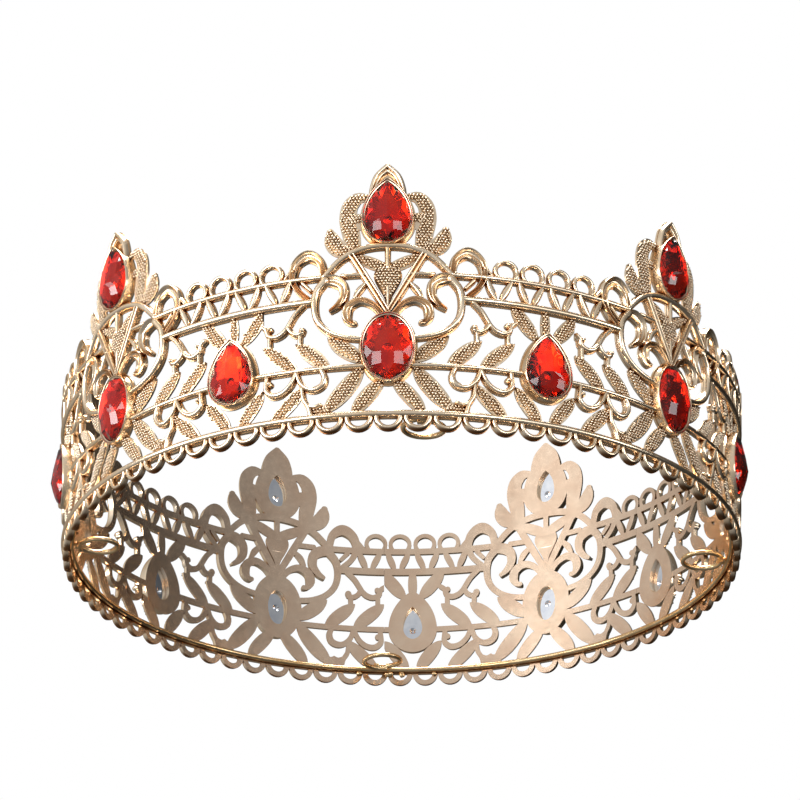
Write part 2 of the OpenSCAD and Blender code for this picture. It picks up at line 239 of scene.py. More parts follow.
def add_dome(pattern, spot, radius, base, height, sides, rings, kind=GOLD):
    """A closed dome that stands on the height base."""
    points = []
    for k in range(rings):
        a = math.pi / 2 * k / rings
        r, h = radius * math.cos(a), base + height * math.sin(a)
        points += [(spot[0] + r * math.cos(t), spot[1] + r * math.sin(t), h)
                   for t in np.arange(sides) * 2 * math.pi / sides]
    points.append((*spot, base + height))
    last = (rings - 1) * sides
    faces = ring_faces(rings, sides)
    faces += [[last + i, last + (i + 1) % sides, last + sides] for i in range(sides)]
    faces.append(list(range(sides))[::-1])
    pattern.add(points, faces, kind)


def add_grains(pattern, path, top):
    """Staggered beads over a leaf, following its swell and kept just clear of its rim."""
    reach = path[:, 2].max() / 2
    low = path[:, :2].min(axis=0) - reach
    high = path[:, :2].max(axis=0) + reach
    rows = int((high[1] - low[1]) / BEAD_ROW)
    columns = int((high[0] - low[0]) / BEAD_PITCH)
    spots = [(low[0] + (i + 0.5 * (j % 2)) * BEAD_PITCH, low[1] + j * BEAD_ROW)
             for j in range(rows) for i in range(columns)]
    spots = np.array(spots) + rng.uniform(-BEAD_SHIFT, BEAD_SHIFT, (len(spots), 2))
    gaps = np.linalg.norm(spots[:, None] - path[None, :, :2], axis=2)
    nearest = gaps.argmin(axis=1)
    room = path[nearest, 2] / 2 - BEAD_R * BEAD_CLEAR
    for spot, gap, limit in zip(spots, gaps.min(axis=1), room):
        if gap < limit:
            size = BEAD_R * rng.uniform(*BEAD_SIZES)
            swell = LEAF_SWELL * (gap / (limit + BEAD_R)) ** 2
            add_dome(pattern, spot, size, top - BEAD_RISE - swell, size + BEAD_TALL,
                     sides=7, rings=2, kind=GRAIN)


def add_leaf(pattern, path, top=LEAF_T):
    """A leaf with its grain."""
    face = top + BED_OVER - BEAD_RISE
    # the leaf's face is painted dark brown: painted shade in the gaps between the beads
    add_sweep(pattern, path, LEAF, face, 2 * LEAF_SWELL, THIN_MARGIN, LEAF_BED_PAINTED_SHADE)
    add_grains(pattern, path, top)


def add_strut(pattern, path):
    """A short bar between two rails, as fat in its middle as a leaf."""
    add_sweep(pattern, path, ROUND, STRUT_T, STRUT_DEPTH, THIN_MARGIN)


def add_ball(pattern, spot, diameter):
    """The ball at the end of a curl, and its disc in the plate."""
    r = diameter / 2
    add_dome(pattern, spot, r, FOOT, BALL_T - FOOT, BALL_SIDES, rings=6)
    turn = np.linspace(0, 2 * math.pi, BALL_SIDES + 1)[:-1]
    pattern.plate.append([(spot[0] + r * math.cos(t), spot[1] + r * math.sin(t)) for t in turn])


# ---- the pattern of one repeat ----

MIDDLE_RODS = [
    # the arch over the fleur, and the stems above and below it: points, widths, top
    ([(-12.6, 29.8), (-8.9, 33.5), (-4.7, 35.4), (0, 35.9), (4.7, 35.4), (8.9, 33.5), (12.6, 29.8)],
     [1.2, 1.35, 1.35, 1.35, 1.35, 1.35, 1.2], 1.75),
    ([(0, 35.7), (0, 31)], [1.1, 0.9], 1.5),
    ([(0, 27), (0, 22)], [0.9, 0.7], 1.4),
]
FLEUR = ([(0, 31.8), (0, 30.6), (0, 29), (0, 27), (0, 25.2), (0, 23.6)], [2, 5, 5.4, 3.7, 1.7, 0.7])
SIDE_RODS = [
    # points, widths, top, cross-section
    ([(0.1, 21.6), (3.7, 28), (7.3, 34.4)], [1.2, 1.5, 1.4], 1.65, GROOVE),
    ([(4, 28.2), (5.6, 26.6), (6.6, 24.8)], [0.6, 1.3, 0.7], 1.4, ROUND),
    ([(1, 20.8), (2.9, 23.1), (5.4, 24.1), (7.6, 23), (8.1, 21), (7.4, 19.6), (6.5, 19.3)],
     [1.2, 1.3, 1.5, 1.8, 1.9, 1.1, 0.8], 1.7, HOLLOW),
    ([(4.7, 15.9), (8.5, 16.5), (11.8, 18), (13.9, 20.4), (14.6, 23.4), (14.2, 26.6), (12.4, 29)],
     [1.1, 1.1, 1.2, 1.3, 1.35, 1.5, 1.7], 1.75, ROUND),
    ([(12.4, 29), (10.6, 28.9), (8.9, 27.6), (8.7, 25.2), (9.8, 23.4), (11.3, 22.3)],
     [1.8, 2.4, 2.1, 1.7, 1.3, 0.7], 1.65, HOLLOW),
    ([(12.7, 30.2), (13.4, 33.2), (15.8, 34.8), (18.2, 33.3), (19, 30.4), (18, 27.6), (15.9, 25.5)],
     [1.3, 1.7, 2.4, 1.9, 1.5, 1.1, 1], 1.7, HOLLOW),
    ([(19.2, 32), (20.6, 30.4)], [0.9, 0.7], 1.4, ROUND),
    ([(17, 29), (15.4, 27.2)], [0.9, 0.7], 1.4, ROUND),
    ([(16.8, 24.2), (18.5, 22.5), (19.7, 20.6), (20.4, 19.4)], [1, 1, 1, 1], 1.5, ROUND),
    ([(20.3, 19.6), (21.3, 18.6), (22.9, 18.1), (24.2, 18.7), (24.6, 20), (25.6, 20.8)],
     [1, 1.1, 1.1, 1.1, 1, 0.9], 1.55, ROUND),
    ([(20, 19.8), (19.4, 18.7), (18.2, 18), (17.1, 18.3)], [1, 1, 1, 1], 1.5, ROUND),
    ([(24, 18.4), (24, 16)], [0.9, 0.9], 1.3, ROUND),
    ([(17.6, 18), (17.7, 15.8)], [0.9, 0.9], 1.3, ROUND),
    ([(18.4, 9.8), (19.5, 7.5), (21.2, 6), (23.2, 5.7), (24.6, 6.8), (24.7, 8.2), (24.5, 9.8)],
     [0.9, 1, 1.1, 1.2, 1.1, 1, 0.9], 1.55, ROUND),
    ([(18.3, 9.8), (17.5, 7.6), (16, 6.2), (14.4, 6), (13, 6.8), (12.6, 8.4), (13.2, 9.8)],
     [0.9, 1, 1.1, 1.3, 1.3, 1.2, 0.9], 1.55, ROUND),
    ([(17.2, 6.6), (16.9, 4.2), (15.9, 2.4), (15.4, 0.6)], [0.9, 0.9, 0.9, 1], 1.45, ROUND),
    ([(15.9, 2.6), (14.6, 2.2), (13.6, 2.6)], [0.8, 0.8, 0.8], 1.4, ROUND),
    ([(3.3, 46.9), (3, 48.9), (2.1, 51.3), (0, 53.45)], [0.8, 0.9, 0.95, 0.95], 1.7, ROUND),
    ([(2.6, 47.6), (2.2, 49.6), (1.4, 51.2), (0, 52.4)], [0.8, 0.8, 0.8, 0.8], 1.35, ROUND),
]
SIDE_BALLS = [((6.5, 19.4), 1.1), ((23.9, 20), 1.3), ((17.1, 18.8), 1.5), ((24, 8.3), 1.4)]
SIDE_LEAVES = [
    # from, to, width, bow
    ((-0.9, 30.6), (6.7, 34.2), 2.4, -0.1),
    ((0.7, 7.7), (7.3, 0.1), 3.1, 0.2),
    ((4.9, 10.3), (13, 1), 3.5, -0.3),
    ((4.4, 11.3), (12, 16.8), 3.2, -0.2),
    ((18.3, 10.1), (25.4, 16.4), 3, 0.1),
    ((11.6, 10.1), (18.6, 16.2), 3, 0.1),
    ((16.8, 7), (24, 0), 3, -0.1),
    ((11.3, 0.9), (15.6, 1.3), 2.6, 0.4),
]
ACANTHUS = [
    # the grained leaf beside the peak stone, its link to the setting, and its side lobe
    ([(4.3, 46.9), (6, 46.7), (7.5, 45), (7.9, 42.2), (7.3, 39), (6.9, 36.5), (6.9, 34)],
     [1.4, 2.5, 3.1, 3.4, 3.5, 3, 2.4]),
    ([(4.9, 42.2), (7, 42.4)], [1.8, 2.2]),
    ([(7.9, 35.4), (9.6, 35.9), (10.8, 37.2), (11.3, 38.8), (11.5, 39.8)], [2.6, 3.4, 3.5, 2.6, 1.4]),
]
STRUT_W = 1.4
STRUT_T = 1.5
STRUT_DEPTH = 0.6
SIDE_STRUTS = [((24.8, 29.8), (22.4, 25)), ((19.4, 29.8), (21.5, 25))]
PEAK_BACKING = [
    # plates behind the finial, and between the peak stone and the leaves beside it
    [(-3.3, 46.9), (3.3, 46.9), (3.2, 48.9), (2.2, 51.2), (0, 53.2), (-2.2, 51.2), (-3.2, 48.9)],
    [(4.9, 39.8), (6.4, 39.8), (6.4, 43), (5.2, 43.2)],
    [(-6.4, 39.8), (-4.9, 39.8), (-5.2, 43.2), (-6.4, 43)],
]
# stated from the middle of the band pear
PEAR_LEAVES = [((7.2, 24.8), (1.6, 17.8), 3, 0.1), ((6.6, 7.2), (1, 0), 3, -0.1)]
PEAR_STRUTS = [((0.7, 29.8), (2.9, 25)), ((6, 29.8), (4, 25))]
PEAR_CROWN = ((0, 25.3), (0, 17.6), 2)


def add_middle(pattern):
    """The arch, its stems, and the fleur between them."""
    for points, widths, top in MIDDLE_RODS:
        add_sweep(pattern, curve(points, widths), ROUND, top, ROD_DEPTH)
    add_leaf(pattern, curve(*FLEUR), FLEUR_T)


def add_sides(pattern):
    """The scrolls and leaves on both sides of the peak."""
    pattern.plate += PEAK_BACKING
    for points, widths, top, profile in SIDE_RODS:
        for side in both_sides(curve(points, widths)):
            add_sweep(pattern, side, profile, top, ROD_DEPTH)
    for (u, v), diameter in SIDE_BALLS:
        for side in (u, -u):
            add_ball(pattern, (side, v), diameter)
    paths = [leaf(*shape) for shape in SIDE_LEAVES] + [curve(*shape) for shape in ACANTHUS]
    for path in paths:
        for side in both_sides(path):
            add_leaf(pattern, side)
    for a, b in SIDE_STRUTS:
        for side in both_sides(leaf(a, b, STRUT_W)):
            add_strut(pattern, side)


def leaf_by_pear(a, b, width, bow=0.0):
    """A leaf's rows, where a and b are stated from the middle of the band pear."""
    return leaf((a[0] + HALF, a[1]), (b[0] + HALF, b[1]), width, bow)


def add_round_pear(pattern):
    """The leaves and struts round the band pear."""
    for shape in PEAR_LEAVES:
        for side in both_sides(leaf_by_pear(*shape), HALF):
            add_leaf(pattern, side)
    for a, b in PEAR_STRUTS:
        for side in both_sides(leaf_by_pear(a, b, STRUT_W), HALF):
            add_strut(pattern, side)
    add_leaf(pattern, leaf_by_pear(*PEAR_CROWN))


START = -SEAM - PAST_SEAM
END = PITCH - SEAM + PAST_SEAM
MIDDLE_RAIL = 10.2      # heights of the rails above the bottom one
UPPER_RAIL = 24.7
TOP_RAIL = 29.8
BY_STONE = 4.6          # where the middle rail stops beside a stone's middle
RAIL_DEPTH = 0.65
RAIL_MARGIN = 0.14
RAILS = [
    # height, width of the ridge, top, and where it starts and ends
    (0, 1.3, 1.65, START, END),
    (MIDDLE_RAIL, 1, 1.5, START, -BY_STONE),
    (MIDDLE_RAIL, 1, 1.5, BY_STONE, HALF - BY_STONE),
    (MIDDLE_RAIL, 1, 1.5, HALF + BY_STONE, END),
    (UPPER_RAIL, 1.35, 1.7, START, -14.6),
    (UPPER_RAIL, 1.35, 1.7, 14.6, END),
    (TOP_RAIL, 1.15, 1.6, START, -12.4),
    (TOP_RAIL, 1.15, 1.6, 12.4, END),
    (TOP_RAIL, 0.95, 1.45, -9, -4.4),
    (TOP_RAIL, 0.95, 1.45, 4.4, 9),
]


def add_rails(pattern):
    """The straight rails, with a station about every millimetre so that they bend smoothly."""
    for v, width, top, start, end in RAILS:
        count = max(2, round(end - start))
        path = np.array([(u, v, width) for u in np.linspace(start, end, count)])
        add_sweep(pattern, path, ROUND, top, RAIL_DEPTH, RAIL_MARGIN)


RING_STATIONS = 17
SCALLOPS = 11           # half rings under each repeat
SCALLOP_V = -0.6        # height of their centres
SCALLOP_R = 2.32        # their radius at the middle of the metal, its width, and its top
SCALLOP_W = 1.1
SCALLOP_T = 1.35
SCALLOP_DEPTH = 0.7
SCALLOP_PAST = math.radians(12)     # how far they go past half a turn at each end
TOP_LOOPS = (-29.2, -23.6, 23.6, 29.2, PITCH - 29.2, PITCH - 23.6)
TOP_LOOP_V = 31.6
TOP_LOOP_R = 2.2
TOP_LOOP_W = 0.8
TOP_LOOP_T = 1.4
TOP_LOOP_DEPTH = 0.45
TOP_LOOP_PAST = math.radians(34)
TOP_LOOP_MARGIN = 0.08


def half_ring(u, v, radius, past, width, sign):
    """Part of a ring, past half a turn at each end. It stands up where sign is 1, and hangs at -1."""
    return np.array([(u + radius * math.cos(t), v + sign * radius * math.sin(t), width)
                     for t in np.linspace(math.pi + past, -past, RING_STATIONS)])


def add_rings(pattern):
    """The half rings under the bottom rail and on the top rail."""
    spacing = PITCH / SCALLOPS
    for i in range(-5, 8):
        path = half_ring(i * spacing, SCALLOP_V, SCALLOP_R, SCALLOP_PAST, SCALLOP_W, sign=-1)
        add_sweep(pattern, path, ROUND, SCALLOP_T, SCALLOP_DEPTH, THIN_MARGIN)
    for u in TOP_LOOPS:
        path = half_ring(u, TOP_LOOP_V, TOP_LOOP_R, TOP_LOOP_PAST, TOP_LOOP_W, sign=1)
        add_sweep(pattern, path, ROUND, TOP_LOOP_T, TOP_LOOP_DEPTH, TOP_LOOP_MARGIN)


# ---- settings and stones ----

def oval(grow, steps):
    """An oval stone's outline grown by grow."""
    a, b = OVAL_SIZE[0] / 2 + grow, OVAL_SIZE[1] / 2 + grow
    turn = np.arange(steps) * 2 * math.pi / steps + math.pi
    return np.column_stack([a * np.cos(turn), b * np.sin(turn)])


def drop(grow, steps):
    """A drop's outline grown by grow: half a circle, and two arcs above it that meet in the tip."""
    width, length = DROP_SIZE
    small = width / 2 + grow
    level = width / 2 - length / 2      # height of the arcs' centres
    aside = ((length - width / 2) ** 2 - width * width / 4) / width     # of the big arcs' centres
    big = aside + width / 2 + grow
    tip = math.acos(aside / big)
    count = steps // 4
    low = [(small * math.cos(t), level + small * math.sin(t))
           for t in math.pi + math.pi / 2 * np.arange(2 * count) / count]
    right = [(big * math.cos(tip * i / count) - aside, level + big * math.sin(tip * i / count))
             for i in range(count + 1)]
    return np.array(low + right[:-1] + [(-x, y) for x, y in right[:0:-1]])


WINDOW_SHARE = (0.47, 0.6)      # of the stone's width and length
WINDOW_LOW = 0.3        # how far below the stone's middle it lies


def window(outline, steps):
    """The opening behind a stone: the stone's own outline made smaller."""
    return outline(0, steps) * WINDOW_SHARE - (0, WINDOW_LOW)


SETTING_FOOT = 0.05     # where a setting starts, inside the plate
SETTING_STEPS = 64
# how far each ring of a setting lies outside the stone, and its height
BEZEL = [(0.68, SETTING_FOOT), (0.64, 0.9), (0.58, 1.6), (0.53, 2.02), (0.48, 2.2), (0.41, 2.27),
         (0.34, 2.25), (0.27, 2.15), (0.2, 2.02), (0.08, 1.95), (-0.05, 1.92), (-0.05, 1.85),
         (0.12, 1.6), (0.12, POCKET)]
BASE_OUT = 0.98         # how far the plate round a setting reaches outside the stone
WINDOW_CLEAR = 1.02     # the plate's hole is this much bigger than the window


def make_setting(outline, v):
    """A bezel and its base plate round a window, still flat and centred on u = 0."""
    loops = [(outline(grow, SETTING_STEPS), h) for grow, h in BEZEL]
    loops += [(window(outline, SETTING_STEPS), h) for h in (POCKET, SETTING_FOOT)]
    points = [(u, v + y, h) for loop, h in loops for u, y in loop]
    return points, ring_faces(len(loops), SETTING_STEPS, closed=True)


def add_setting_plate(pattern, outline, u, v):
    """The plate round a setting, and the hole in it."""
    hole = window(outline, 32) * WINDOW_CLEAR
    pattern.plate.append([(u + x, v + y) for x, y in outline(BASE_OUT, 48)])
    pattern.holes.append([(u + x, v + y) for x, y in hole])


GEM_SIDES = 16
GIRDLE_OUT = 0.09       # how far a stone reaches under the lip of its setting
DROP_FOCUS = (0, -1.9)  # where the facets of a drop meet
# rings of a stone's facets: share of the outline, and share of the height
FACET_RINGS = [(0.36, 0.86), (0.64, 0.73), (0.88, 0.57)]
STEEP_RINGS = [(0.36, 0.84), (0.64, 0.69), (0.88, 0.51)]    # the band pears are cut steeper
GIRDLE = [(1, 0.19), (1, 0.0)]
TOP = GEM_SIDES * (len(FACET_RINGS) + len(GIRDLE))      # the top's place in a stone's points
DIMPLE = TOP + 1
DIMPLE_R = 0.75
DIMPLE_DEEP = 0.45
STONES = [
    # name, outline, places along and up the band, where the facets meet, and their rings
    ("peak_stone", drop, 0, PEAK_V, DROP_FOCUS, FACET_RINGS),
    ("oval_stone", oval, 0, OVAL_V, (0, 0), FACET_RINGS),
    ("pear_stone", drop, HALF, PEAR_V, DROP_FOCUS, STEEP_RINGS),
]


def stone_points(outline, focus, rings):
    """Rings of corners from the upper facets to the back, the top, and the dimple in the back."""
    base = outline(GIRDLE_OUT, GEM_SIDES)
    focus = np.array(focus)
    points = [(*(focus + (corner - focus) * share), POCKET + STONE_T * height)
              for share, height in rings + GIRDLE for corner in base]
    points.append((*focus, POCKET + STONE_T))
    points += [(focus[0] + DIMPLE_R * math.cos(t), focus[1] + DIMPLE_R * math.sin(t), POCKET)
               for t in math.pi + np.arange(GEM_SIDES) * 2 * math.pi / GEM_SIDES]
    points.append((*focus, POCKET + DIMPLE_DEEP))
    return points


def at(ring, i):
    """The place of corner i of a ring in a stone's points."""
    return ring * GEM_SIDES + i % GEM_SIDES


def front_faces():
    """Three rings of kite facets, the triangles below them, and the wall of the girdle."""
    faces = []
    for i in range(1, GEM_SIDES, 2):
        faces.append([TOP, at(0, i - 1), at(1, i), at(0, i + 1)])
        faces.append([at(0, i + 1), at(1, i), at(2, i + 1), at(1, i + 2)])
        faces.append([at(1, i), at(2, i - 1), at(3, i), at(2, i + 1)])
        faces.append([at(2, i + 1), at(3, i), at(3, i + 1)])
        faces.append([at(2, i + 1), at(3, i + 1), at(3, i + 2)])
    for i in range(GEM_SIDES):
        faces.append([at(3, i), at(4, i), at(4, i + 1), at(3, i + 1)])
    return faces


def back_faces():
    """The flat back, with its dimple."""
    faces = []
    for i in range(GEM_SIDES):
        j = (i + 1) % GEM_SIDES
        faces.append([at(4, i), DIMPLE + i, DIMPLE + j, at(4, j)])
        faces.append([DIMPLE + i, DIMPLE + GEM_SIDES, DIMPLE + j])
    return faces


# ---- from the flat pattern to the band ----

def turn_at(u):
    """Angle round the axis, from the front peak, of a place u along the band."""
    return u * 2 * math.pi / (PITCH * REPEATS)


def on_wall(v, h):
    """Distance from the axis, and height, of places on the flared wall."""
    out = INNER_R + v * math.sin(FLARE) + h * math.cos(FLARE)
    return out, RAIL_Z + v * math.cos(FLARE) - h * math.sin(FLARE)


def bend(points):
    """Sets flat points on the flared band, in metres."""
    u, v, h = np.array(points).T
    r, z = on_wall(v, h)
    angle = turn_at(u)
    return np.column_stack([r * np.sin(angle), -r * np.cos(angle), z]) * MM


def lay_flat(points, u0):
    """Sets points on the flat plane that touches the inner face at u0, in metres."""
    u, v, h = np.array(points).T
    out, z = on_wall(v, h)
    a = turn_at(u0)
    x = u * math.cos(a) + out * math.sin(a)
    y = u * math.sin(a) - out * math.cos(a)
    return np.column_stack([x, y, z]) * MM


def plate_faces(pattern):
    """The union of the plate's polygons less its holes, as one flat slab."""
    spots, faces = [], []
    for loop in pattern.plate + pattern.holes:
        faces.append(list(range(len(spots), len(spots) + len(loop))))
        spots += [Vector(p) for p in loop]
    inside_only = 1
    verts, _, tris, _, _, sources = geometry.delaunay_2d_cdt(spots, [], faces, inside_only, WELD)
    kept = [tri for tri, source in zip(tris, sources) if source and max(source) < len(pattern.plate)]
    count = len(verts)
    points = [(v[0], v[1], 0.0) for v in verts] + [(v[0], v[1], PLATE_T) for v in verts]
    edges = {(a, b) for tri in kept for a, b in zip(tri, tri[1:] + tri[:1])}
    outer = [(a, b) for a, b in edges if (b, a) not in edges]
    backs = [tri[::-1] for tri in kept]
    fronts = [[i + count for i in tri] for tri in kept]
    walls = [[a, b, b + count, a + count] for a, b in sorted(outer)]
    return points, backs, fronts + walls


def draw_repeat():
    """The flat relief of one repeat with the plate behind it."""
    pattern = Pattern()
    add_middle(pattern)
    add_sides(pattern)
    add_round_pear(pattern)
    add_rails(pattern)
    add_rings(pattern)
    for _, outline, u, v, _, _ in STONES:
        add_setting_plate(pattern, outline, u, v)
    points, backs, rest = plate_faces(pattern)
    pattern.add(points, backs, BACK)
    pattern.add(points, rest)
    return pattern


def add_faces(bm, points, faces, kinds):
    verts = [bm.verts.new(p) for p in points]
    for face, kind in zip(faces, kinds):
        made = bm.faces.new([verts[i] for i in face])
        made.material_index = kind


def cut_at_seams(bm):
    """Keeps what lies between the two seams, and closes the cut faces."""
    for place, outward in ((-SEAM + SEAM_GAP, -1), (PITCH - SEAM - SEAM_GAP, 1)):
        everything = bm.verts[:] + bm.edges[:] + bm.faces[:]
        cut = bmesh.ops.bisect_plane(bm, geom=everything, plane_co=(place, 0, 0),
                                     plane_no=(outward, 0, 0), clear_outer=True)
        rims = [e for e in cut["geom_cut"] if isinstance(e, bmesh.types.BMEdge) and e.is_boundary]
        bmesh.ops.edgenet_fill(bm, edges=rims)


def set_creases(bm):
    """Shades everything smooth but its creases. A bead has few faces, so its creases are sharper."""
    for face in bm.faces:
        face.smooth = True
    for edge in bm.edges:
        on_bead = all(face.material_index == GRAIN for face in edge.link_faces)
        edge.smooth = edge.calc_face_angle(math.pi) < (BEAD_CREASE if on_bead else CREASE)


def make_casting():
    """The mesh of one casting with its peak at the front."""
    pattern = draw_repeat()
    bm = bmesh.new()
    add_faces(bm, pattern.points, pattern.faces, pattern.kinds)
    bmesh.ops.remove_doubles(bm, verts=bm.verts[:], dist=WELD)
    cut_at_seams(bm)
    bent = bend([v.co for v in bm.verts])
    for vert, place in zip(bm.verts, bent):
        vert.co = place
    for _, outline, u, v, _, _ in STONES:
        points, faces = make_setting(outline, v)
        add_faces(bm, lay_flat(points, u), faces, [GOLD] * len(faces))
    bmesh.ops.recalc_face_normals(bm, faces=bm.faces[:])
    set_creases(bm)
    mesh = bpy.data.meshes.new("casting")
    bm.to_mesh(mesh)
    bm.free()
    return mesh


# ---- materials ----

class Nodes:
    """Shorthand for building a node tree."""

    def __init__(self, tree):
        self.tree = tree

    def add(self, kind, links=(), **values):
        """A new node with its links, as (socket, source), and the values of other sockets."""
        node = self.tree.nodes.new(kind)
        for socket, value in values.items():
            node.inputs[socket.title()].default_value = value
        for socket, source in links:
            self.tree.links.new(source, node.inputs[socket])
        return node

    def ramp(self, source, stops):
        """Colour or grey by position, as (position, colour) stops."""
        node = self.add("ShaderNodeValToRGB", [("Fac", source)])
        while len(node.color_ramp.elements) < len(stops):
            node.color_ramp.elements.new(0.5)
        for element, (place, colour) in zip(node.color_ramp.elements, stops):
            element.position = place
            element.color = (*colour, 1) if isinstance(colour, tuple) else (colour, colour, colour, 1)
        return node.outputs["Color"]


class Surface(Nodes):
    """The nodes of a new material. Noise scales are features per metre."""

    def __init__(self, name):
        self.material = bpy.data.materials.new(name)
        self.material.use_nodes = True
        super().__init__(self.material.node_tree)
        self.shader = self.tree.nodes["Principled BSDF"]
        self.coords = self.add("ShaderNodeTexCoord").outputs["Object"]

    def set(self, socket, value):
        self.shader.inputs[socket].default_value = value

    def plug(self, socket, source):
        self.tree.links.new(source, self.shader.inputs[socket])

    def noise(self, scale, detail=3.0):
        node = self.add("ShaderNodeTexNoise", [("Vector", self.coords)],
                        scale=scale, detail=detail, roughness=0.55)
        return node.outputs["Fac"]

    def darken(self, shade, dark, source):
        """The source's colour where shade is 1, and dark where it is 0."""
        node = self.add("ShaderNodeMix")
        node.data_type = "RGBA"
        node.inputs[6].default_value = (*dark, 1)
        self.tree.links.new(shade, node.inputs[0])
        self.tree.links.new(source, node.inputs[7])
        return node.outputs[2]

    def bump(self, height, strength, distance):
        node = self.add("ShaderNodeBump", [("Height", height)], strength=strength, distance=distance)
        self.plug("Normal", node.outputs["Normal"])


CREVICE = 0.0011        # how near to other metal a place counts as a corner, where shade is painted darker, in metres
EDGE_TINT = (1, 0.84, 0.66, 1)


def gold(name, bright, deep, tarnish_and_shade, roughness, pits=0.3):
    """Plated metal: mottled colour, with tarnish and painted shade darkening its corners, and a fine pitted
    polish.
    """
    nodes = Surface(name)
    nodes.set("Metallic", 1.0)
    nodes.set("Specular Tint", EDGE_TINT)
    mottled = nodes.ramp(nodes.noise(160), [(0.35, deep), (0.65, bright)])
    # painted shade: ambient occlusion blends the colour towards the tarnish colour in corners, between
    # beads and on their sides
    corners = nodes.add("ShaderNodeAmbientOcclusion", distance=CREVICE)
    corners.samples = 6
    shade = nodes.ramp(corners.outputs["AO"], [(0.25, 0.0), (0.75, 1.0)])
    nodes.plug("Base Color", nodes.darken(shade, tarnish_and_shade, mottled))
    low, high = roughness
    nodes.plug("Roughness", nodes.ramp(nodes.noise(900, 4), [(0.3, low), (0.7, high)]))
    nodes.bump(nodes.noise(2600), pits, 0.00003)
    return nodes.material


def stone_glass():
    """Clear red acrylic with a faint cloud in it."""
    nodes = Surface("red_stone")
    nodes.set("Transmission Weight", 1.0)
    nodes.set("IOR", 1.49)
    nodes.set("Roughness", 0.0)
    cloud = nodes.ramp(nodes.noise(220, 2), [(0.35, (0.82, 0.005, 0.002)), (0.65, (0.97, 0.03, 0.003))])
    nodes.plug("Base Color", cloud)
    return nodes.material


def stone_foil():
    """The silvered back of a stone."""
    nodes = Surface("silver_foil")
    nodes.set("Metallic", 1.0)
    silver = [(0.3, (0.72, 0.76, 0.84)), (0.7, (0.88, 0.9, 0.94))]
    nodes.plug("Base Color", nodes.ramp(nodes.noise(500), silver))
    nodes.plug("Roughness", nodes.ramp(nodes.noise(1500), [(0.3, 0.03), (0.7, 0.09)]))
    nodes.bump(nodes.noise(700, 2), 0.15, 0.00004)
    return nodes.material


# in the order of the castings' materials: bright, deep, tarnish with painted shade in the corners, and
# roughness of each
GOLDS = [
    gold("gold_relief", (1.0, 0.83, 0.63), (0.96, 0.74, 0.5), (0.34, 0.15, 0.055), (0.17, 0.28)),
    # the leaf bed's dark colours are painted shade for the gaps between the beads
    gold("gold_leaf_bed_painted_shade", (0.36, 0.22, 0.11), (0.28, 0.16, 0.08), (0.08, 0.03, 0.012), (0.25, 0.4)),
    gold("gold_grain", (1.0, 0.85, 0.66), (0.98, 0.8, 0.59), (0.22, 0.09, 0.035), (0.18, 0.3)),
    gold("gold_back", (0.88, 0.68, 0.51), (0.8, 0.58, 0.42), (0.4, 0.22, 0.13), (0.17, 0.27), pits=0.1),
]
WIRE_GOLD = gold("gold_wire", (0.93, 0.7, 0.42), (0.82, 0.56, 0.28), (0.4, 0.18, 0.05), (0.15, 0.26))
GLASS = stone_glass()
FOIL = stone_foil()


# ---- placing ----

def place(mesh, name, node, slot, materials, turn=0.0):
    """Makes a piece of the mesh, turned about the axis, in place of a CAD node."""
    mesh.name = name
    mesh.transform(Matrix.Rotation(turn, 4, "Z"))
    for material in materials:
        mesh.materials.append(material)
    piece = bpy.data.objects.new(name, mesh)
    bpy.context.scene.collection.objects.link(piece)
    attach(piece, "root")
    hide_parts(node)


def mesh_from(points, faces):
    mesh = bpy.data.meshes.new("piece")
    mesh.from_pydata([tuple(p) for p in points], [], faces)
    mesh.validate()
    return mesh


def place_castings():
    casting = make_casting()
    for k in range(REPEATS):
        place(casting.copy(), f"casting_{k + 1}_relief", f"casting_{k + 1}", "gold_casting", GOLDS,
              2 * math.pi * k / REPEATS)


def place_stones():
    """The stones, clear in front and silvered on the back."""
    fronts = front_faces()
    for name, outline, u, v, focus, rings in STONES:
        spots = [(x, y + v, h) for x, y, h in stone_points(outline, focus, rings)]
        for k in range(REPEATS):
            mesh = mesh_from(lay_flat(spots, u), fronts + back_faces())
            for polygon in mesh.polygons:
                polygon.material_index = int(polygon.index >= len(fronts))
            place(mesh, f"{name}_{k + 1}_cut", f"{name}_{k + 1}", "red_stone", [GLASS, FOIL],
                  2 * math.pi * k / REPEATS)


def tube(path, radius, closed=False, sides=12):
    """Points and faces of a wire along a path, in millimetres."""
    path = [Vector(p) for p in path]
    count = len(path)
    points = []
    for i, spot in enumerate(path):
        before = path[i - 1] if closed or i else path[0]
        after = path[(i + 1) % count] if closed or i < count - 1 else path[-1]
        ahead = (after - before).normalized()
        across = ahead.cross(Vector((0, 0, 1))).normalized()
        up = across.cross(ahead)
        points += [spot + radius * (math.cos(a) * across + math.sin(a) * up)
                   for a in np.arange(sides) * 2 * math.pi / sides]
    return points, ring_faces(count, sides, closed=True) if closed else tube_faces(count, sides)


BLOB_UNEVEN = 0.22      # how much a bead of solder swells and dips
BLOB_LUMPS = 1.4        # how fine its lumps are
BLOB_APART = 3.7        # how far apart the noise of two beads lies


def blob(centre, size, seed, rings=10, sides=14):
    """An uneven bead of solder, in millimetres."""
    points = []
    for k in range(rings + 1):
        for i in range(sides):
            a, t = math.pi * k / rings, 2 * math.pi * i / sides
            way = Vector((math.sin(a) * math.cos(t), math.sin(a) * math.sin(t), math.cos(a)))
            lump = noise.noise(way * BLOB_LUMPS + Vector((seed * BLOB_APART, 0, 0)))
            swell = 1 + BLOB_UNEVEN * lump
            points.append(Vector(centre) + swell * Vector([w * s for w, s in zip(way, size)]))
    return points, ring_faces(rings + 1, sides)


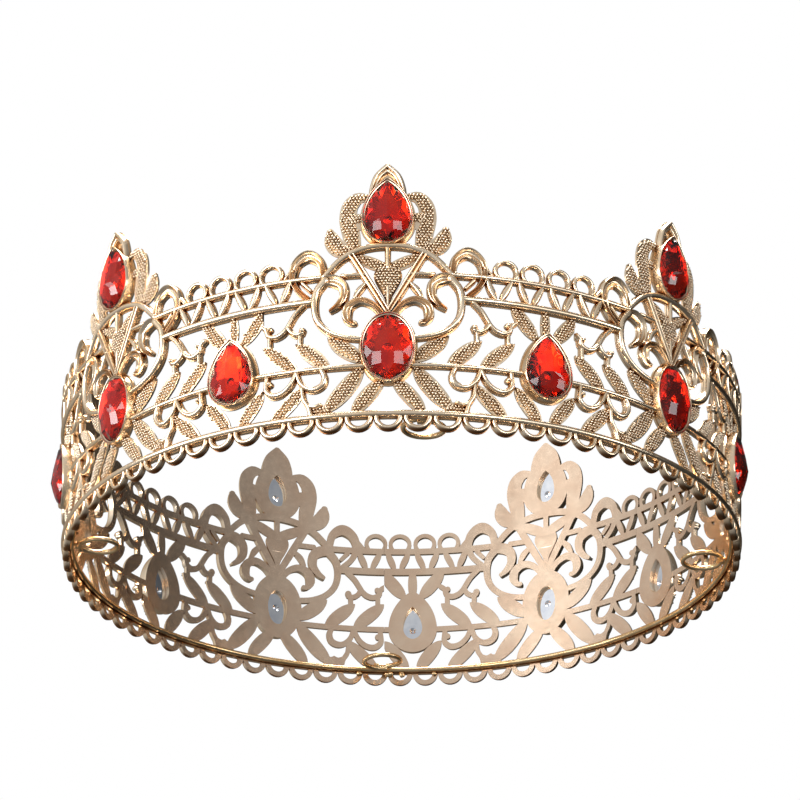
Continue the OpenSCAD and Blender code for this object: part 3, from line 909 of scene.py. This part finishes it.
def joined(shapes):
    """One mesh of several point and face lists given in millimetres."""
    points, faces = [], []
    for some_points, some_faces in shapes:
        start = len(points)
        points += [Vector(p) * MM for p in some_points]
        faces += [[start + i for i in face] for face in some_faces]
    mesh = mesh_from(points, faces)
    bm = bmesh.new()
    bm.from_mesh(mesh)
    bmesh.ops.remove_doubles(bm, verts=bm.verts[:], dist=WIRE_WELD)
    bmesh.ops.recalc_face_normals(bm, faces=bm.faces[:])
    bm.to_mesh(mesh)
    bm.free()
    mesh.shade_smooth()
    mesh.set_sharp_from_angle(angle=WIRE_CREASE)
    return mesh


def round_axis(angle, r, z):
    """The place at an angle from the front and a distance r from the axis."""
    return r * math.sin(angle), -r * math.cos(angle), z


HOOP_STEPS = 240
HOOP_WIRE = 1.2
HOOP_R = INNER_R - HOOP_WIRE / 2
HOOP_THIN = 0.02        # how much smaller than the CAD wire's its radius is
HOOP_WAVE = 0.05        # how much the hoop's radius and height vary, and how often
HOOP_RISE = 0.06
HOOP_WAVES = 4
SOLDER_OUT = 0.3        # where the solder lies: outside the hoop's middle, and below it
SOLDER_LOW = 0.9
SOLDER = [
    # degrees round the hoop from the front, and half sizes
    (184.5, (1.1, 0.6, 0.7)),
    (182, (0.7, 0.45, 0.9)),
    (190, (0.8, 0.4, 0.6)),
    (176, (0.6, 0.4, 0.5)),
    (300, (0.7, 0.5, 0.7)),
    (60, (0.7, 0.5, 0.6)),
]
PIN_LOOPS = 4
FIRST_LOOP = 6          # degrees from the front
LOOP_STEPS = 64
LOOP_WIRE = 1.1
LOOP_R = 4.05
LOOP_OUT = 63.85        # how far the middle of a pin loop lies from the axis
LOOP_START = -112       # degrees, and how far the wire goes round
LOOP_TURN = 404
LOOP_RISE = 0.34        # half of what the wire climbs on its way round
LOOP_SOLDER_OUT = 0.5   # where a loop's solder lies outside its wire, and its half sizes
LOOP_SOLDER = (1.2, 0.8, 0.75)


def wave(angle, layer):
    """Smooth noise that closes on itself once round the hoop."""
    return noise.noise(Vector((math.cos(angle) * HOOP_WAVES, math.sin(angle) * HOOP_WAVES, layer)))


def place_hoop():
    """The wire hoop, a little uneven, and the solder that holds it."""
    path = []
    for i in range(HOOP_STEPS):
        a = 2 * math.pi * i / HOOP_STEPS
        r = HOOP_R + HOOP_WAVE * wave(a, 0) - HOOP_WAVE
        path.append(round_axis(a, r, RAIL_Z + HOOP_RISE * wave(a, 5)))
    shapes = [tube(path, HOOP_WIRE / 2 - HOOP_THIN, closed=True, sides=16)]
    for angle, size in SOLDER:
        spot = round_axis(math.radians(angle), HOOP_R + SOLDER_OUT, RAIL_Z - SOLDER_LOW)
        shapes.append(blob(spot, size, angle))
    place(joined(shapes), "inner_hoop_wire", "inner_hoop", "gold_wire", [WIRE_GOLD])


def place_pin_loops():
    """Level loops of wire, each with its ends crossed on the hoop under a bead of solder."""
    solder = (0, -LOOP_OUT - LOOP_R - LOOP_SOLDER_OUT, RAIL_Z)
    for k in range(PIN_LOOPS):
        path = []
        for i in range(LOOP_STEPS):
            t = i / (LOOP_STEPS - 1)
            a = math.radians(LOOP_START + LOOP_TURN * t)
            rise = LOOP_RISE * (2 * t - 1)
            path.append((LOOP_R * math.cos(a), -LOOP_OUT + LOOP_R * math.sin(a), RAIL_Z + rise))
        shapes = [tube(path, LOOP_WIRE / 2), blob(solder, LOOP_SOLDER, k + 1)]
        turn = math.radians(FIRST_LOOP + 360 / PIN_LOOPS * k)
        place(joined(shapes), f"pin_loop_{k + 1}_wire", f"pin_loop_{k + 1}", "gold_wire", [WIRE_GOLD], turn)


# ---- studio, in metres and degrees ----

CAMERA_AZIMUTH = 2.06
CAMERA_ELEVATION = -24.82
CAMERA_ROLL = -0.13
CAMERA_DISTANCE = 0.816
CAMERA_LENS = 170.8     # millimetres, as is the sensor
CAMERA_SENSOR = 36
AIM_HEIGHT = 0.0392
AIM_ASIDE = -0.00025    # to the camera's right
LIT_HEIGHT = 0.03       # what the lights face
LIGHTS = [
    # name, azimuth, elevation, distance, size, power
    ("softbox_left", -52, 8, 0.75, (0.66, 0.3), 2.6),
    ("softbox_right", 48, 5, 0.75, (0.62, 0.26), 0.8),
    ("strip", -30.5, -1, 1, (0.23, 0.34), 1.9),
    ("strip", 26.5, -1, 1, (0.23, 0.34), 1.4),
    ("strip", -75, 1, 1, (0.23, 0.34), 2.0),
    ("strip", 72, 1, 1, (0.23, 0.34), 1.3),
    ("softbox_high", -58, 32, 0.8, (0.4, 0.3), 0.1),
    ("softbox_top", 180, 80, 0.8, (0.4, 0.6), 11),
]
BRIGHT_SIDE = (-0.75, -0.6, 0)   # how much brighter the room is at the left and the front
ROOM_GREYS = [(0.0, 0.12), (0.3, 0.24), (0.42, 0.32), (0.52, 0.34), (0.68, 0.36), (1.0, 0.42)]
FLOOR_R = 0.7           # short of the nearest softbox
FLOOR_SIDES = 96


def facing(target, azimuth, elevation, distance):
    """The matrix of a camera or light that looks at the target from that direction."""
    a, e = math.radians(azimuth), math.radians(elevation)
    back = Vector((math.sin(a) * math.cos(e), -math.cos(a) * math.cos(e), math.sin(e)))
    turn = back.to_track_quat("Z", "Y").to_matrix().to_4x4()
    return Matrix.Translation(target + back * distance) @ turn


def add_camera():
    """Looks up at the front from a little below the band."""
    a = math.radians(CAMERA_AZIMUTH)
    right = Vector((math.cos(a), math.sin(a), 0))
    target = Vector((0, 0, AIM_HEIGHT)) + AIM_ASIDE * right
    camera = bpy.data.objects.new("camera", bpy.data.cameras.new("camera"))
    camera.data.lens = CAMERA_LENS
    camera.data.sensor_width = CAMERA_SENSOR
    roll = Matrix.Rotation(math.radians(CAMERA_ROLL), 4, "Z")
    camera.matrix_world = facing(target, CAMERA_AZIMUTH, CAMERA_ELEVATION, CAMERA_DISTANCE) @ roll
    bpy.context.scene.collection.objects.link(camera)
    bpy.context.scene.camera = camera


def add_light(name, azimuth, elevation, distance, size, power):
    """A softbox that faces the crown."""
    light = bpy.data.lights.new(name, "AREA")
    light.shape = "RECTANGLE"
    light.size, light.size_y = size
    light.energy = power
    lamp = bpy.data.objects.new(name, light)
    lamp.matrix_world = facing(Vector((0, 0, LIT_HEIGHT)), azimuth, elevation, distance)
    lamp.visible_camera = False
    bpy.context.scene.collection.objects.link(lamp)


def add_world():
    """A white backdrop, and a dimmer room round it for what the metal reflects."""
    world = bpy.data.worlds.new("studio")
    bpy.context.scene.world = world
    world.use_nodes = True
    nodes = Nodes(world.node_tree)
    nodes.tree.nodes.clear()
    way = nodes.add("ShaderNodeTexCoord").outputs["Generated"]
    up = nodes.add("ShaderNodeSeparateXYZ", [(0, way)]).outputs["Z"]
    span = nodes.add("ShaderNodeMapRange", [("Value", up)])
    span.inputs["From Min"].default_value = -1
    greys = nodes.ramp(span.outputs["Result"], ROOM_GREYS)
    tilt = nodes.add("ShaderNodeVectorMath")
    tilt.operation = "DOT_PRODUCT"
    tilt.inputs[1].default_value = BRIGHT_SIDE
    nodes.tree.links.new(way, tilt.inputs[0])
    lift = nodes.add("ShaderNodeMath", [(0, tilt.outputs["Value"])])
    lift.inputs[1].default_value = 1
    room = nodes.add("ShaderNodeBackground", [("Color", greys), ("Strength", lift.outputs[0])])
    backdrop = nodes.add("ShaderNodeBackground", color=(1, 1, 1, 1))
    seen = nodes.add("ShaderNodeLightPath").outputs["Is Camera Ray"]
    blend = nodes.add("ShaderNodeMixShader",
                      [("Fac", seen), (1, room.outputs[0]), (2, backdrop.outputs[0])])
    nodes.add("ShaderNodeOutputWorld", [("Surface", blend.outputs[0])])


def add_floor():
    """A pale table top under the crown. Its underside is clear, as the camera looks up through it."""
    turn = np.arange(FLOOR_SIDES) * 2 * math.pi / FLOOR_SIDES
    rim = [(FLOOR_R * math.cos(t), FLOOR_R * math.sin(t), 0) for t in turn]
    mesh = mesh_from(rim, [list(range(FLOOR_SIDES))])
    floor = bpy.data.objects.new("floor", mesh)
    bpy.context.scene.collection.objects.link(floor)
    nodes = Surface("floor")
    nodes.set("Roughness", 0.7)
    nodes.plug("Base Color", nodes.ramp(nodes.noise(30), [(0.3, 0.8), (0.7, 0.84)]))
    under = nodes.add("ShaderNodeNewGeometry").outputs["Backfacing"]
    clear = nodes.add("ShaderNodeBsdfTransparent").outputs[0]
    blend = nodes.add("ShaderNodeMixShader", [("Fac", under), (1, nodes.shader.outputs[0]), (2, clear)])
    nodes.tree.links.new(blend.outputs[0], nodes.tree.nodes["Material Output"].inputs["Surface"])
    mesh.materials.append(nodes.material)
    floor.visible_glossy = False


def main():
    place_castings()
    place_stones()
    place_hoop()
    place_pin_loops()
    add_camera()
    add_floor()
    add_world()
    for light in LIGHTS:
        add_light(*light)
    bpy.context.scene.view_settings.view_transform = "Standard"


main()
